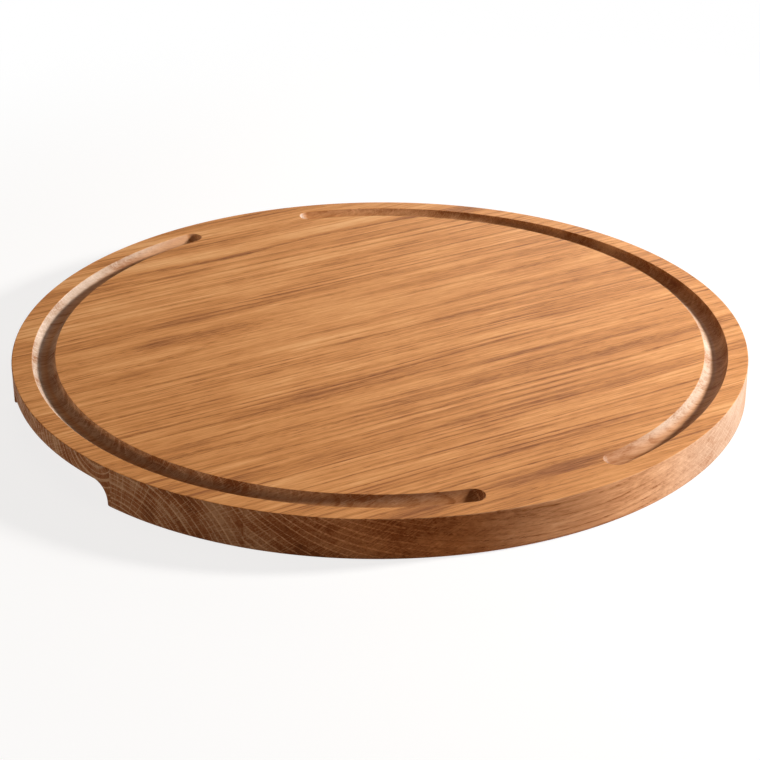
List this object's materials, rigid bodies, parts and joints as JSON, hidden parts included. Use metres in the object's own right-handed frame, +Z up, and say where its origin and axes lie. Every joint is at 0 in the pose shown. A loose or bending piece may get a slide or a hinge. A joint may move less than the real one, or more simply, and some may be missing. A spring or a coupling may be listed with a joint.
{
  "type": "serving board",
  "caption": "Round edge-glued oak serving board for pizza, with a broken ring groove near its rim and finger recesses under opposite edges.",
  "frame": {"origin": "centre of the face that the board stands on", "axes": "+Z up, square to the serving face; X along the grain, through the finger recesses; Y across the staves"},
  "size_m": [0.36, 0.36, 0.02],
  "materials": {
    "oiled_oak": "oiled"
  },
  "bodies": {
    "root": {"front_edge_stave": "oiled_oak", "front_outer_stave": "oiled_oak", "front_inner_stave": "oiled_oak", "back_inner_stave": "oiled_oak", "back_outer_stave": "oiled_oak", "back_edge_stave": "oiled_oak"}
  },
  "joints": []
}
